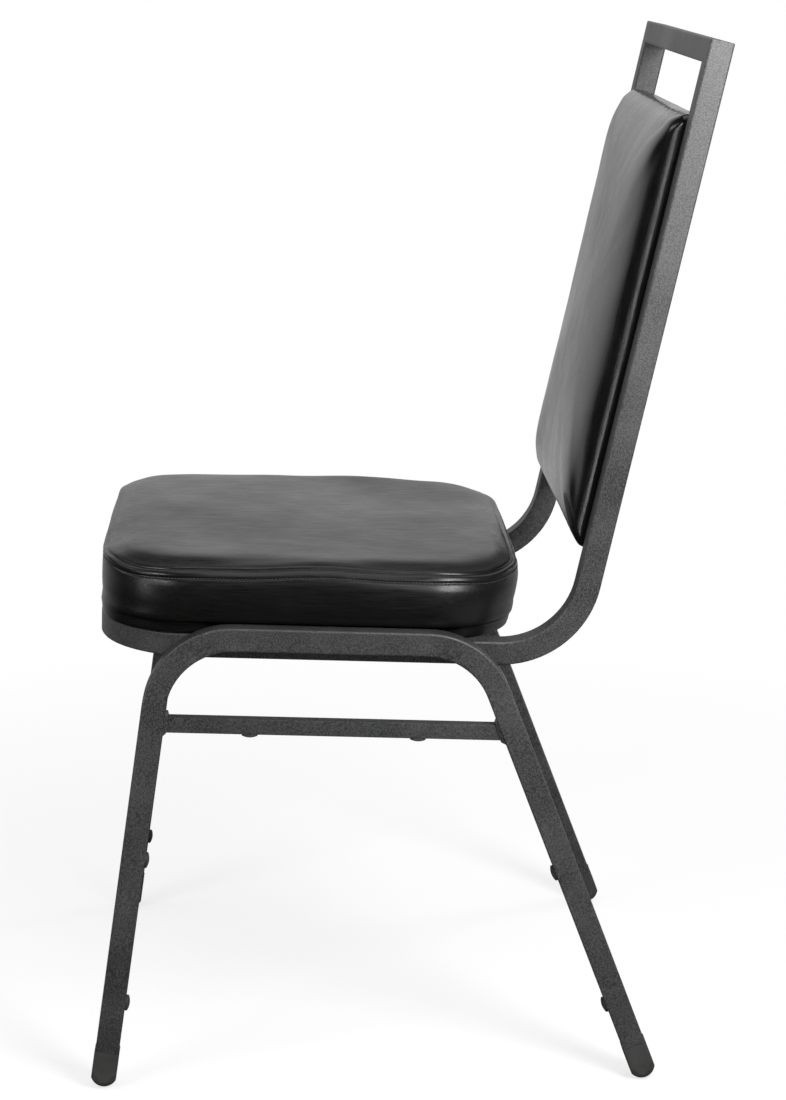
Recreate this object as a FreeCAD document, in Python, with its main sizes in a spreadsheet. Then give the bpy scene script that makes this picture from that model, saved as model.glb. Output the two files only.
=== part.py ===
import FreeCAD, Part

import math
import os
import re
import Sketcher

Vector = FreeCAD.Vector
Rotation = FreeCAD.Rotation
Placement = FreeCAD.Placement

# Stacking choir chair: square tube frame, upholstered seat and back. +Z up, front towards -Y.
# "Left" is the sitter's left, on +X. Lengths in mm, angles in degrees.
# The heel is the point where the centrelines of a seat rail and its upright would meet.
SIZES = [
    # whole chair
    ("frame_width", 380.0),          # between the centrelines of the side tubes
    ("heel_height", 413.7),          # heel above the floor
    ("rail_run", 431.0),             # heel to the centreline of the front rail, along the seat
    ("upright_top", 575.9),          # heel to the top of the back, along the uprights
    ("seat_tilt", 2.0),              # seat falls towards the rear
    ("back_lean", 12.28),
    # tube
    ("tube_side", 22.2),
    ("tube_wall", 1.2),
    ("tube_corner", 2.0),
    ("back_bend_radius", 81.0),
    ("rail_bend_radius", 84.0),
    ("leg_bend_radius", 73.1),
    ("joint_run", 207.9),            # heel to the butt joint of side tube and front rail
    ("sleeve_side", 19.2),
    ("sleeve_length", 60.0),
    ("crossbar_run", 95.0),          # heel to the centreline of the rear crossbar
    # leg frames
    ("leg_splay", 1.94),
    ("front_leg_lean", 8.33),
    ("rear_leg_lean", 20.85),
    ("bar_rise", 12.1),              # leg frame bar above the seat rail, centre to centre
    ("bar_front", 379.3),            # heel to the front corner of the leg frame
    ("bar_rear", 87.1),              # heel to the rear corner of the leg frame
    ("stretcher_drop", 83.0),
    ("stretcher_height", 14.3),
    ("stretcher_width", 12.5),
    ("stretcher_wall", 1.2),
    ("weld_leg", 3.5),
    ("weld_toe", 0.4),               # edge of a weld bead where it runs out
    # glides and bumpers
    ("glide_dome_radius", 13.2),
    ("glide_side", 23.6),
    ("glide_corner", 3.0),
    ("glide_height", 24.0),          # from the centre of the dome up the leg
    ("glide_cone_height", 4.0),
    ("glide_shoulder", 17.7),        # radius that turns the round foot into the square cuff
    ("glide_flat", 0.5),             # depth of the flat spot that stands on the floor
    ("glide_fit", 0.1),
    ("glide_seat", 2.0),             # centre of the dome to the end of the leg tube
    ("bumper_radius", 7.5),
    ("bumper_height", 4.0),
    ("bumper_dome_radius", 16.0),
    ("front_bumper_low", 72.6),      # up the leg from the centre of the glide's dome
    ("front_bumper_high", 215.2),
    ("rear_bumper_low", 69.9),
    ("rear_bumper_high", 211.6),
    ("stretcher_bumper_front", 297.6),
    ("stretcher_bumper_rear", 141.4),
    # seat cushion, heights from the top of the seat rails
    ("seat_half_width", 213.0),
    ("seat_front", 443.6),           # heel to the front face of the cushion
    ("seat_rear", 44.0),             # heel to the rear face of the cushion
    ("seat_front_corner", 87.0),
    ("seat_rear_corner", 90.0),
    ("cover_thickness", 1.2),
    ("soft_gap", 0.3),
    ("seam_gap", 0.3),               # between the two panels of the seat cover
    ("seat_corner_share", 0.8),      # of a section's side inset taken off its corner radius
    ("seat_corner_least", 18.0),
    ("board_thickness", 12.7),
    ("board_seat", 0.1),             # dust cover to the board
    ("dust_cover_thickness", 0.4),
    # back pad, depths forward of the centre plane of the uprights
    ("pad_side_gap", 1.0),           # pad to the inner face of an upright
    ("pad_bottom", 97.0),            # heel to the bottom of the pad, along the uprights
    ("pad_top", 506.5),
    ("pad_corner", 9.0),
    ("pad_corner_share", 0.35),      # of a section's side inset added to its corner radius
    ("pad_corner_most", 0.6),        # of a section's half width
    ("pad_rear", -5.8),
    ("back_board_thickness", 11.0),
    ("rear_panel_thickness", 1.8),
    ("panel_inset", 0.7),            # rear panel inside the outline of the pad
    # tabs and fasteners
    ("tab_thickness", 3.0),
    ("tab_reach", 28.0),
    ("tab_width", 32.0),
    ("seat_tab_front", 325.0),
    ("seat_tab_rear", 142.0),
    ("back_tab_low", 150.0),
    ("back_tab_high", 452.0),
    ("screw_inset", 16.0),           # screw axis to the inner face of the tube
    ("screw_radius", 3.0),
    ("screw_grip", 14.0),
    ("screw_head_radius", 5.6),
    ("screw_head_height", 3.2),
    ("hole_radius", 3.4),
    ("nut_radius", 4.0),
    ("nut_bore_radius", 3.2),
    ("nut_flange_radius", 9.0),
    ("nut_flange_thickness", 1.5),
    ("nut_barrel_length", 8.0),
    ("nut_hole_radius", 4.2),
    ("flange_clearance", 0.3),
    ("cut_margin", 5.0),             # how far a cutting shape reaches past what it cuts
]

# Sections of the seat cushion from the hem upwards: name, height above the rail tops,
# then how far the side, front and rear lie inside the fullest outline.
SEAT_RINGS = [
    ("hem", 0.3, 13.4, 3.6, 10.5),
    ("tuck", 12.4, 13.1, 2.0, 8.0),
    ("lip", 12.41, 5.0, 1.8, 7.0),
    ("lower", 20.0, 1.8, 1.0, 4.2),
    ("belly", 34.0, 0.0, 0.0, 1.4),
    ("upper", 48.0, 2.0, 0.2, 0.0),
    ("shoulder", 58.0, 6.6, 1.4, 2.2),
    ("seam", 63.5, 14.0, 5.5, 8.0),
    ("rim", 66.6, 29.0, 18.0, 24.0),
    ("swell", 69.2, 80.0, 68.0, 76.0),
    ("crown", 70.6, 140.0, 135.0, 138.0),
]

# Sections of the back pad from its rear edge forwards: name, depth forward of the uprights'
# centre plane, then how far the sides, bottom and top lie inside the outline.
PAD_RINGS = [
    ("edge", -5.8, 0.6, 0.6, 0.6),
    ("board_line", 5.0, 0.0, 0.0, 0.0),
    ("flush", 12.0, 0.4, 0.8, 0.6),
    ("turn", 18.0, 4.0, 5.6, 4.5),
    ("side", 24.0, 10.0, 14.0, 11.0),
    ("face", 29.6, 21.0, 27.0, 22.0),
    ("front", 33.6, 37.0, 42.0, 36.0),
    ("swell", 37.0, 68.0, 74.0, 64.0),
    ("crown", 39.3, 108.0, 116.0, 108.0),
    ("peak", 40.4, 146.0, 158.0, 150.0),
]

FORMULAS = [
    ("tube_half", "tube_side / 2"),
    ("inner_face", "frame_width / 2 - tube_half"),
    ("back_turn", "90 - back_lean + seat_tilt"),
    ("back_tangent", "back_bend_radius * tan(back_turn / 2)"),
    ("front_leg_angle", "front_leg_lean - seat_tilt"),
    ("rear_leg_angle", "rear_leg_lean + seat_tilt"),
    ("front_turn", "90 - front_leg_angle"),
    ("rear_turn", "90 - rear_leg_angle"),
    ("front_tangent", "leg_bend_radius * tan(front_turn / 2)"),
    ("rear_tangent", "leg_bend_radius * tan(rear_turn / 2)"),
    ("bar_height", "heel_height + bar_rise * cos(seat_tilt)"),
    ("dome_height", "glide_dome_radius - glide_flat"),
    ("front_drop", "cos(seat_tilt) * cos(leg_splay) * cos(front_leg_angle)"
                   " - sin(seat_tilt) * sin(front_leg_angle)"),
    ("rear_drop", "cos(seat_tilt) * cos(leg_splay) * cos(rear_leg_angle)"
                  " + sin(seat_tilt) * sin(rear_leg_angle)"),
    ("front_leg_length", "(bar_height + bar_front * sin(seat_tilt) - dome_height)"
                         " / front_drop"),
    ("rear_leg_length", "(bar_height + bar_rear * sin(seat_tilt) - dome_height)"
                        " / rear_drop"),
    ("front_straight", "front_leg_length - glide_seat - front_tangent"),
    ("rear_straight", "rear_leg_length - glide_seat - rear_tangent"),
    ("pad_half_width", "inner_face - pad_side_gap"),
    ("board_base", "tube_half + seat_hem_level + dust_cover_thickness + board_seat"),
    ("board_top", "board_base + board_thickness"),
    ("back_board_front", "pad_rear + back_board_thickness"),
    ("seat_screw_x", "inner_face - screw_inset"),
    ("skin_and_gap", "cover_thickness + soft_gap"),
]

doc = FreeCAD.newDocument("ChoirChair")
sheet = doc.addObject("Spreadsheet::Sheet", "Sizes")
aliases = []


def add_size(name, text):
    """One row of the sheet: the name in column A, its value or formula in column B."""
    aliases.append(name)
    row = str(len(aliases))
    sheet.set("A" + row, name)
    sheet.set("B" + row, text)
    sheet.setAlias("B" + row, name)


for size_name, number in SIZES:
    add_size(size_name, str(number))
for part_name, rings, sides in (("seat", SEAT_RINGS, ("side", "front", "rear")),
                                ("pad", PAD_RINGS, ("side", "bottom", "top"))):
    for ring_row in rings:
        stem = part_name + "_" + ring_row[0]
        add_size(stem + "_level", str(ring_row[1]))
        for side, inset in zip(sides, ring_row[2:]):
            add_size(stem + "_" + side + "_inset", str(inset))
for size_name, formula in FORMULAS:
    add_size(size_name, "=" + formula)
doc.recompute()


def named(expression):
    """The expression with every name of the sheet written as a reference to the sheet."""
    def reference(match):
        word = match.group(0)
        return "Sizes." + word if word in aliases else word
    return re.sub(r"[A-Za-z_][A-Za-z_0-9]*", reference, str(expression))


def value(expression):
    """The number an expression of sheet names stands for."""
    result = sheet.evalExpression(str(expression))
    return float(getattr(result, "Value", result))


# Frames: the heel frame follows the seat, the back frame follows the uprights,
# and a leg frame hangs from the seat rails with its own splay.
def seat_frame():
    return Placement(Vector(0, 0, value("heel_height")), Rotation(Vector(1, 0, 0), -value("seat_tilt")))


def back_frame():
    return Placement(Vector(0, 0, value("heel_height")), Rotation(Vector(1, 0, 0), -value("back_lean")))


def leg_frame(side):
    offset = Placement(Vector(side * value("frame_width / 2 + tube_side"), 0, value("bar_rise")),
                       Rotation(Vector(0, 1, 0), -side * value("leg_splay")))
    return seat_frame().multiply(offset)


def foot_frame(side, end):
    """At the centre of a glide's dome, +Z up the leg."""
    if end == "front":
        corner, angle, sign = value("bar_front"), value("front_leg_angle"), -1
    else:
        corner, angle, sign = value("bar_rear"), value("rear_leg_angle"), 1
    length = value(end + "_leg_length")
    turn = math.radians(angle)
    spot = Vector(0, -corner + sign * length * math.sin(turn), -length * math.cos(turn))
    return leg_frame(side).multiply(Placement(spot, Rotation(Vector(1, 0, 0), sign * angle)))


# Sketch helpers
def dimension(sketch, tag, kind, expression, *geometry):
    number = value(expression)
    start = math.radians(number) if kind == "Angle" else number
    index = sketch.addConstraint(Sketcher.Constraint(kind, *geometry, start))
    sketch.renameConstraint(index, tag)
    unit = " * 1deg" if kind == "Angle" else ""
    sketch.setExpression("Constraints." + tag, "(" + named(expression) + ")" + unit)


def pin(sketch, tag, geometry, point, x, y):
    """Holds a point at x, y from the sketch's origin; None leaves a direction free."""
    for kind, axis, expression in (("DistanceX", -2, x), ("DistanceY", -1, y)):
        if expression is None:
            continue
        number = value(expression)
        label = tag + kind[-1]
        if abs(number) < 1e-9:
            sketch.addConstraint(Sketcher.Constraint("PointOnObject", geometry, point, axis))
        elif number > 0:
            dimension(sketch, label, kind, expression, -1, 1, geometry, point)
        else:
            dimension(sketch, label, kind, "-(" + str(expression) + ")", geometry, point, -1, 1)


def add_polygon(sketch, tag, corners):
    spots = [Vector(value(x), value(y), 0) for x, y in corners]
    count = len(spots)
    first = None
    for i in range(count):
        line = sketch.addGeometry(Part.LineSegment(spots[i], spots[(i + 1) % count]), False)
        first = line if first is None else first
    for i in range(count):
        sketch.addConstraint(Sketcher.Constraint("Coincident", first + i, 2,
                                                 first + (i + 1) % count, 1))
    for i, (x, y) in enumerate(corners):
        pin(sketch, tag + str(i), first + i, 1, x, y)


def add_rounded_rectangle(sketch, tag, left, right, low, high, low_radius, high_radius):
    x0, x1, y0, y1 = value(left), value(right), value(low), value(high)
    r0, r1 = value(low_radius), value(high_radius)
    quarter = math.pi / 2
    up = Vector(0, 0, 1)

    def line(ax, ay, bx, by):
        return sketch.addGeometry(Part.LineSegment(Vector(ax, ay, 0), Vector(bx, by, 0)), False)

    def arc(cx, cy, radius, start):
        circle = Part.Circle(Vector(cx, cy, 0), up, radius)
        return sketch.addGeometry(Part.ArcOfCircle(circle, start, start + quarter), False)

    bottom = line(x0 + r0, y0, x1 - r0, y0)
    arc_a = arc(x1 - r0, y0 + r0, r0, -quarter)
    right_side = line(x1, y0 + r0, x1, y1 - r1)
    arc_b = arc(x1 - r1, y1 - r1, r1, 0)
    top = line(x1 - r1, y1, x0 + r1, y1)
    arc_c = arc(x0 + r1, y1 - r1, r1, quarter)
    left_side = line(x0, y1 - r1, x0, y0 + r0)
    arc_d = arc(x0 + r0, y0 + r0, r0, 2 * quarter)
    loop = [bottom, arc_a, right_side, arc_b, top, arc_c, left_side, arc_d]
    for i, piece in enumerate(loop):
        sketch.addConstraint(Sketcher.Constraint("Tangent", piece, 2, loop[(i + 1) % 8], 1))
    sketch.addConstraint(Sketcher.Constraint("Horizontal", bottom))
    sketch.addConstraint(Sketcher.Constraint("Horizontal", top))
    sketch.addConstraint(Sketcher.Constraint("Vertical", right_side))
    sketch.addConstraint(Sketcher.Constraint("Vertical", left_side))
    sketch.addConstraint(Sketcher.Constraint("Equal", arc_a, arc_d))
    sketch.addConstraint(Sketcher.Constraint("Equal", arc_b, arc_c))
    dimension(sketch, tag + "_low_radius", "Radius", low_radius, arc_a)
    dimension(sketch, tag + "_high_radius", "Radius", high_radius, arc_b)
    pin(sketch, tag + "_low", bottom, 1, None, low)
    pin(sketch, tag + "_high", top, 1, None, high)
    pin(sketch, tag + "_right", right_side, 1, right, None)
    pin(sketch, tag + "_left", left_side, 1, left, None)


def add_tube_profile(sketch):
    half, wall, corner = "tube_half", "(tube_half - tube_wall)", "(tube_corner - tube_wall)"
    add_rounded_rectangle(sketch, "outer", "-" + half, half, "-" + half, half,
                          "tube_corner", "tube_corner")
    add_rounded_rectangle(sketch, "inner", "-" + wall, wall, "-" + wall, wall, corner, corner)


# PartDesign helpers
def new_body(label):
    body = doc.addObject("PartDesign::Body", label)
    body.Label = label
    return body


def body_sketch(body, name, role, offset=(0, 0, 0), turn=None):
    """A sketch on one of the body's own origin planes, set off by expressions."""
    sketch = body.newObject("Sketcher::SketchObject", body.Name + "_" + name)
    plane = [item for item in body.Origin.OriginFeatures if item.Role == role][0]
    sketch.AttachmentSupport = [(plane, "")]
    sketch.MapMode = "FlatFace"
    start = Vector(*[value(part) for part in offset])
    spin = Rotation() if turn is None else Rotation(Vector(1, 0, 0), value(turn))
    sketch.AttachmentOffset = Placement(start, spin)
    for axis, expression in zip("xyz", offset):
        if expression != 0:
            sketch.setExpression("AttachmentOffset.Base." + axis, named(expression))
    return sketch


def sweep(body, profile, path):
    pipe = body.newObject("PartDesign::AdditivePipe", body.Name + "_tube")
    edges = ["Edge" + str(i + 1) for i in range(path.GeometryCount)]
    pipe.Profile = profile
    pipe.Spine = (path, edges)
    body.Tip = pipe
    return pipe


def pad(body, name, sketch, length, symmetric=False, backwards=False):
    feature = body.newObject("PartDesign::Pad", body.Name + "_" + name)
    feature.Profile = sketch
    feature.setExpression("Length", named(length))
    feature.Reversed = backwards
    if symmetric:
        feature.SideType = "Symmetric"
    body.Tip = feature
    return feature


def pocket_through(body, name, sketch):
    feature = body.newObject("PartDesign::Pocket", body.Name + "_" + name)
    feature.Profile = sketch
    feature.SideType = "Symmetric"
    feature.Type = "ThroughAll"
    body.Tip = feature
    return feature


# Part helpers: primitives whose sizes and places follow the sheet
def bind(feature, properties):
    for name, expression in properties.items():
        feature.setExpression(name, named(expression))
    return feature


def place_at(feature, spot, rotation=None):
    feature.Placement = Placement(Vector(*[value(part) for part in spot]), rotation or Rotation())
    for axis, expression in zip("xyz", spot):
        if str(expression) != "0":
            feature.setExpression("Placement.Base." + axis, named(expression))
    return feature


def box(name, low, high):
    feature = doc.addObject("Part::Box", name)
    lengths = ["(" + str(b) + ") - (" + str(a) + ")" for a, b in zip(low, high)]
    bind(feature, dict(zip(("Length", "Width", "Height"), lengths)))
    return place_at(feature, low)


def cylinder(name, radius, height, spot, rotation=None):
    feature = doc.addObject("Part::Cylinder", name)
    bind(feature, {"Radius": radius, "Height": height})
    return place_at(feature, spot, rotation)


def combine(kind, name, parts):
    """Part::MultiFuse, Part::MultiCommon or Part::Compound of several objects."""
    feature = doc.addObject(kind, name)
    if kind == "Part::Compound":
        feature.Links = parts
    else:
        feature.Shapes = parts
    feature.Label = name
    return feature


def cut(name, base, tool):
    feature = doc.addObject("Part::Cut", name)
    feature.Base = base
    feature.Tool = tool
    feature.Label = name
    return feature


def extrude(name, sketch, length, backwards=False):
    feature = doc.addObject("Part::Extrusion", name)
    feature.Base = sketch
    feature.DirMode = "Normal"
    feature.Solid = True
    feature.Reversed = backwards
    feature.setExpression("LengthFwd", named(length))
    return feature


def loft(name, sections):
    feature = doc.addObject("Part::Loft", name)
    feature.Sections = sections
    feature.Solid = True
    feature.Ruled = True
    return feature


def free_sketch(name, spot=(0, 0, 0), rotation=None):
    sketch = doc.addObject("Sketcher::SketchObject", name)
    return place_at(sketch, spot, rotation)


nodes = []


def add_node(feature, frame):
    feature.Placement = frame.multiply(feature.Placement)
    nodes.append(feature)


# Frame tubes
def build_side_tube(label, side):
    """One tube runs from the butt joint along the seat, round the bend and up the back."""
    body = new_body(label)
    path = body_sketch(body, "path", "YZ_Plane")
    top, tangent = value("upright_top"), value("back_tangent")
    radius, turn = value("back_bend_radius"), math.radians(value("back_turn"))
    bend_start = Vector(0, tangent, 0)
    bend_end = Vector(radius * math.cos(turn) - radius, tangent - radius * math.sin(turn), 0)
    run = value("joint_run - back_tangent")
    rail_end = bend_end + Vector(-math.sin(turn), -math.cos(turn), 0) * run
    upright = path.addGeometry(Part.LineSegment(Vector(0, top, 0), bend_start), False)
    circle = Part.Circle(Vector(-radius, tangent, 0), Vector(0, 0, 1), radius)
    bend = path.addGeometry(Part.ArcOfCircle(circle, -turn, 0), False)
    rail = path.addGeometry(Part.LineSegment(bend_end, rail_end), False)
    path.addConstraint(Sketcher.Constraint("Vertical", upright))
    path.addConstraint(Sketcher.Constraint("Tangent", upright, 2, bend, 2))
    path.addConstraint(Sketcher.Constraint("Tangent", bend, 1, rail, 1))
    pin(path, "top", upright, 1, "0", "upright_top")
    pin(path, "bend", upright, 2, None, "back_tangent")
    dimension(path, "radius", "Radius", "back_bend_radius", bend)
    dimension(path, "turn", "Angle", "back_turn", bend)
    dimension(path, "rail", "Distance", "joint_run - back_tangent", rail)
    profile = body_sketch(body, "profile", "XY_Plane", (0, 0, "upright_top"))
    add_tube_profile(profile)
    sweep(body, profile, path)
    mitre = body_sketch(body, "mitre", "XZ_Plane")
    far = "(" + str(side) + " * (tube_half + cut_margin))"
    near = "(" + str(-side) + " * (tube_half + cut_margin))"
    add_polygon(mitre, "corner", [(near, "upright_top - tube_side - cut_margin"),
                                  (far, "upright_top + cut_margin"),
                                  (near, "upright_top + cut_margin")])
    pocket_through(body, "mitred", mitre)
    body.Placement = Placement(Vector(side * value("frame_width / 2"), 0, 0), Rotation())
    add_node(body, back_frame())


def build_top_rail():
    body = new_body("top_rail")
    profile = body_sketch(body, "profile", "YZ_Plane", (0, "upright_top - tube_half", 0))
    add_tube_profile(profile)
    pad(body, "tube", profile, "frame_width + tube_side", symmetric=True)
    for name, side in (("left", 1), ("right", -1)):
        mitre = body_sketch(body, name + "_mitre", "XZ_Plane")
        outer = "(" + str(side) + " * (frame_width / 2 + tube_half + cut_margin))"
        inner = "(" + str(side) + " * (frame_width / 2 - tube_half - cut_margin))"
        add_polygon(mitre, "corner", [(inner, "upright_top - tube_side - cut_margin"),
                                      (outer, "upright_top - tube_side - cut_margin"),
                                      (outer, "upright_top + cut_margin")])
        pocket_through(body, name + "_mitred", mitre)
    add_node(body, back_frame())


def build_front_rail():
    """The seat rail bent to a U: two arms and the front, open to the rear."""
    body = new_body("front_seat_rail")
    path = body_sketch(body, "path", "XY_Plane")
    half, radius = value("frame_width / 2"), value("rail_bend_radius")
    front, joint = -value("rail_run"), -value("joint_run")
    quarter = math.pi / 2
    up = Vector(0, 0, 1)

    def line(ax, ay, bx, by):
        return path.addGeometry(Part.LineSegment(Vector(ax, ay, 0), Vector(bx, by, 0)), False)

    def arc(cx, cy, start):
        circle = Part.Circle(Vector(cx, cy, 0), up, radius)
        return path.addGeometry(Part.ArcOfCircle(circle, start, start + quarter), False)

    left_arm = line(half, joint, half, front + radius)
    left_bend = arc(half - radius, front + radius, -quarter)
    front_part = line(half - radius, front, radius - half, front)
    right_bend = arc(radius - half, front + radius, -2 * quarter)
    right_arm = line(-half, front + radius, -half, joint)
    for first, first_end, second, second_end in ((left_arm, 2, left_bend, 2),
                                                 (left_bend, 1, front_part, 1),
                                                 (front_part, 2, right_bend, 2),
                                                 (right_bend, 1, right_arm, 1)):
        path.addConstraint(Sketcher.Constraint("Tangent", first, first_end, second, second_end))
    path.addConstraint(Sketcher.Constraint("Vertical", left_arm))
    path.addConstraint(Sketcher.Constraint("Vertical", right_arm))
    path.addConstraint(Sketcher.Constraint("Horizontal", front_part))
    path.addConstraint(Sketcher.Constraint("Equal", left_bend, right_bend))
    pin(path, "left", left_arm, 1, "frame_width / 2", "-joint_run")
    pin(path, "right", right_arm, 2, "-frame_width / 2", "-joint_run")
    pin(path, "front", front_part, 1, None, "-rail_run")
    dimension(path, "radius", "Radius", "rail_bend_radius", left_bend)
    profile = body_sketch(body, "profile", "XZ_Plane", ("frame_width / 2", 0, "joint_run"))
    add_tube_profile(profile)
    sweep(body, profile, path)
    add_node(body, seat_frame())


def build_crossbar():
    body = new_body("rear_seat_crossbar")
    profile = body_sketch(body, "profile", "YZ_Plane", ("-crossbar_run", 0, 0))
    add_tube_profile(profile)
    pad(body, "tube", profile, "2 * inner_face", symmetric=True)
    add_node(body, seat_frame())


def build_joint_sleeves():
    half, long = "sleeve_side / 2", "sleeve_length / 2"
    sleeves = []
    for name, side in (("left", 1), ("right", -1)):
        centre = "(" + str(side) + " * frame_width / 2)"
        low = (centre + " - " + half, "-joint_run - " + long, "-" + half)
        high = (centre + " + " + half, "-joint_run + " + long, half)
        sleeves.append(box(name + "_sleeve", low, high))
    add_node(combine("Part::Compound", "rail_joint_sleeves", sleeves), seat_frame())


def build_leg_frame(label, side):
    """Front leg, bar and rear leg in one bent tube."""
    body = new_body(label)
    path = body_sketch(body, "path", "YZ_Plane")
    radius = value("leg_bend_radius")
    front_turn = math.radians(value("front_turn"))
    rear_turn = math.radians(value("rear_turn"))
    bar_start = Vector(-value("bar_front - front_tangent"), 0, 0)
    bar_end = Vector(-value("bar_rear + rear_tangent"), 0, 0)
    quarter = math.pi / 2
    up = Vector(0, 0, 1)
    front_centre = bar_start - Vector(0, radius, 0)
    rear_centre = bar_end - Vector(0, radius, 0)
    front_circle = Part.Circle(front_centre, up, radius)
    rear_circle = Part.Circle(rear_centre, up, radius)
    front_arc = Part.ArcOfCircle(front_circle, quarter, quarter + front_turn)
    rear_arc = Part.ArcOfCircle(rear_circle, quarter - rear_turn, quarter)
    front_low = front_centre + Vector(-math.sin(front_turn), math.cos(front_turn), 0) * radius
    rear_low = rear_centre + Vector(math.sin(rear_turn), math.cos(rear_turn), 0) * radius
    front_way = Vector(-math.cos(front_turn), -math.sin(front_turn), 0)
    rear_way = Vector(math.cos(rear_turn), -math.sin(rear_turn), 0)
    front_end = front_low + front_way * value("front_straight")
    rear_end = rear_low + rear_way * value("rear_straight")
    front_leg = path.addGeometry(Part.LineSegment(front_end, front_low), False)
    front_bend = path.addGeometry(front_arc, False)
    bar = path.addGeometry(Part.LineSegment(bar_start, bar_end), False)
    rear_bend = path.addGeometry(rear_arc, False)
    rear_leg = path.addGeometry(Part.LineSegment(rear_low, rear_end), False)
    for first, first_end, second, second_end in ((front_leg, 2, front_bend, 2),
                                                 (front_bend, 1, bar, 1),
                                                 (bar, 2, rear_bend, 2),
                                                 (rear_bend, 1, rear_leg, 1)):
        path.addConstraint(Sketcher.Constraint("Tangent", first, first_end, second, second_end))
    pin(path, "bar_start", bar, 1, "-(bar_front - front_tangent)", "0")
    pin(path, "bar_end", bar, 2, "-(bar_rear + rear_tangent)", "0")
    path.addConstraint(Sketcher.Constraint("Equal", front_bend, rear_bend))
    dimension(path, "radius", "Radius", "leg_bend_radius", front_bend)
    dimension(path, "front_turn", "Angle", "front_turn", front_bend)
    dimension(path, "rear_turn", "Angle", "rear_turn", rear_bend)
    dimension(path, "front_straight", "Distance", "front_straight", front_leg)
    dimension(path, "rear_straight", "Distance", "rear_straight", rear_leg)
    reach = "(front_leg_length - glide_seat)"
    profile = body_sketch(body, "profile", "XY_Plane",
                          (0, "-bar_front - " + reach + " * sin(front_leg_angle)",
                           "-" + reach + " * cos(front_leg_angle)"), "-front_leg_angle")
    add_tube_profile(profile)
    sweep(body, profile, path)
    add_node(body, leg_frame(side))


# Where the stretcher meets the faces of the legs, at a height below the bar.
def front_face(level):
    return "-bar_front + (" + level + ") * tan(front_leg_angle) + tube_half / cos(front_leg_angle)"


def rear_face(level):
    return "-bar_rear - (" + level + ") * tan(rear_leg_angle) - tube_half / cos(rear_leg_angle)"


def build_stretcher(label, side):
    body = new_body(label)
    low = "-stretcher_drop - stretcher_height / 2"
    high = "-stretcher_drop + stretcher_height / 2"
    outline = body_sketch(body, "outline", "YZ_Plane")
    add_polygon(outline, "corner", [(front_face(low), low), (rear_face(low), low),
                                    (rear_face(high), high), (front_face(high), high)])
    pad(body, "bar", outline, "stretcher_width", symmetric=True)
    hollow = body_sketch(body, "hollow", "XZ_Plane")
    half = "stretcher_width / 2 - stretcher_wall"
    left, right = "-(" + half + ")", half
    inner_low, inner_high = low + " + stretcher_wall", high + " - stretcher_wall"
    add_polygon(hollow, "corner", [(left, inner_low), (right, inner_low),
                                   (right, inner_high), (left, inner_high)])
    pocket_through(body, "bored", hollow)
    add_node(body, leg_frame(side))


def build_stretcher_welds():
    """A fillet of weld round each end of both stretchers, against the leg."""
    groups = []
    for side_name, side in (("left", 1), ("right", -1)):
        welds = []
        for end, way in (("front", -1), ("rear", 1)):
            stem = side_name + "_" + end + "_weld"
            wedge = doc.addObject("Part::Wedge", stem + "_bead")
            tall = "stretcher_height / 2 / cos(" + end + "_leg_angle)"
            wide = "stretcher_width / 2"
            bind(wedge, {"Xmin": "-" + wide + " - weld_leg", "Xmax": wide + " + weld_leg",
                         "Zmin": "-" + tall + " - weld_leg", "Zmax": tall + " + weld_leg",
                         "X2min": "-" + wide + " - weld_toe", "X2max": wide + " + weld_toe",
                         "Z2min": "-" + tall + " - weld_toe", "Z2max": tall + " + weld_toe",
                         "Ymin": "0", "Ymax": "weld_leg"})
            spot = front_face("-stretcher_drop") if end == "front" else rear_face("-stretcher_drop")
            angle = value(end + "_leg_angle")
            spin = Rotation(Vector(1, 0, 0), way * angle)
            if end == "rear":
                spin = spin.multiply(Rotation(Vector(0, 0, 1), 180))
            place_at(wedge, ("0", spot, "-stretcher_drop"), spin)
            core = box(stem + "_core", ("-" + wide, "-bar_front - tube_side",
                                        "-stretcher_drop - stretcher_height / 2"),
                       (wide, "0", "-stretcher_drop + stretcher_height / 2"))
            welds.append(cut(stem, wedge, core))
        group = combine("Part::Compound", side_name + "_stretcher_welds", welds)
        group.Placement = leg_frame(side)
        groups.append(group)
    add_node(combine("Part::Compound", "stretcher_welds", groups), Placement())


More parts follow.
